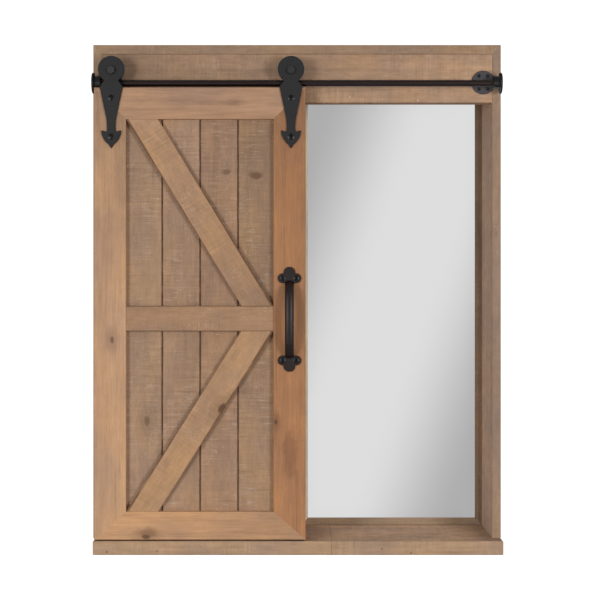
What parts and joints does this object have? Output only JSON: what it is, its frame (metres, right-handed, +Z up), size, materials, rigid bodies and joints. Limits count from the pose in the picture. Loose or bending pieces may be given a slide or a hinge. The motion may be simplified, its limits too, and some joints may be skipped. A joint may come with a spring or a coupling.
{
  "type": "mirror cabinet",
  "caption": "Wall cabinet in weathered wood: a framed mirror in an open bay, shelves behind a sliding plank door hung on straps and wheels from an iron rod.",
  "frame": {"origin": "on the underside of the ledge board, centred on the width and on the whole depth with the pull handle", "axes": "+X to the right seen from the front, +Y back towards the wall, +Z up"},
  "size_m": [0.5588, 0.1685, 0.695],
  "materials": {
    "weathered_carcass_wood": "matte, weathered",
    "plain_inner_wood": "matte",
    "plywood_back": "matte",
    "mirror_strip_wood": "matte",
    "mirror_glass": "polished",
    "warm_frame_wood": "matte, waxed",
    "rough_brace_wood": "rough sawn",
    "rough_plank_wood": "rough sawn",
    "black_iron": "satin black powder coat",
    "black_rod_steel": "gloss black",
    "black_fasteners": "satin black",
    "zinc_plate": "zinc plated",
    "dark_guide_plastic": "matte"
  },
  "bodies": {
    "cabinet": {"left_side_panel": "weathered_carcass_wood", "right_side_panel": "weathered_carcass_wood", "top_panel": "weathered_carcass_wood", "bottom_ledge": "weathered_carcass_wood", "header_board": "weathered_carcass_wood", "centre_divider": "plain_inner_wood", "lower_shelf": "plain_inner_wood", "upper_shelf": "plain_inner_wood", "hanging_rail": "plain_inner_wood", "back_panel": "plywood_back", "left_keyhole_hanger": "zinc_plate", "right_keyhole_hanger": "zinc_plate", "keyhole_hanger_screws": "black_fasteners", "mirror_glass": "mirror_glass", "mirror_strip_bottom": "mirror_strip_wood", "mirror_strip_right": "mirror_strip_wood", "mirror_strip_top": "mirror_strip_wood", "mirror_strip_left": "mirror_strip_wood", "rail_rod": "black_rod_steel", "left_rail_flange": "black_iron", "right_rail_flange": "black_iron", "flange_screws": "black_fasteners", "left_end_stop": "black_rod_steel", "right_end_stop": "black_rod_steel", "end_stop_set_screws": "black_fasteners", "door_guide": "dark_guide_plastic", "door_guide_screws": "black_fasteners"},
    "door": {"left_stile": "warm_frame_wood", "right_stile": "warm_frame_wood", "top_rail": "warm_frame_wood", "bottom_rail": "warm_frame_wood", "middle_rail": "rough_brace_wood", "upper_brace": "rough_brace_wood", "lower_brace": "rough_brace_wood", "plank_1": "rough_plank_wood", "plank_2": "rough_plank_wood", "plank_3": "rough_plank_wood", "plank_4": "rough_plank_wood", "left_hanger_strap": "black_iron", "right_hanger_strap": "black_iron", "strap_screws": "black_fasteners", "left_axle_bolt": "black_fasteners", "right_axle_bolt": "black_fasteners", "axle_nuts": "black_fasteners", "wheel_spacers": "black_iron", "pull_handle": "black_iron", "pull_screws": "black_fasteners"},
    "left_wheel": {"left_wheel": "black_iron"},
    "right_wheel": {"right_wheel": "black_iron"}
  },
  "joints": [
    {"name": "door_slide", "type": "slide", "parent": "cabinet", "child": "door", "axis": [1, 0, 0], "range_m": [0, 0.2594]},
    {"name": "left_wheel_spin", "type": "hinge", "parent": "door", "child": "left_wheel", "pos_m": [-0.2513, -0.05025, 0.6561], "axis": [0, 1, 0], "range_deg": [-2, 1300]},
    {"name": "right_wheel_spin", "type": "hinge", "parent": "door", "child": "right_wheel", "pos_m": [-0.0081, -0.05025, 0.6561], "axis": [0, 1, 0], "range_deg": [-2, 1300]}
  ],
  "couplings": [
    {"joint": "left_wheel_spin", "follows": "door_slide", "rad_per_m": 86.207},
    {"joint": "right_wheel_spin", "follows": "door_slide", "rad_per_m": 86.207}
  ]
}
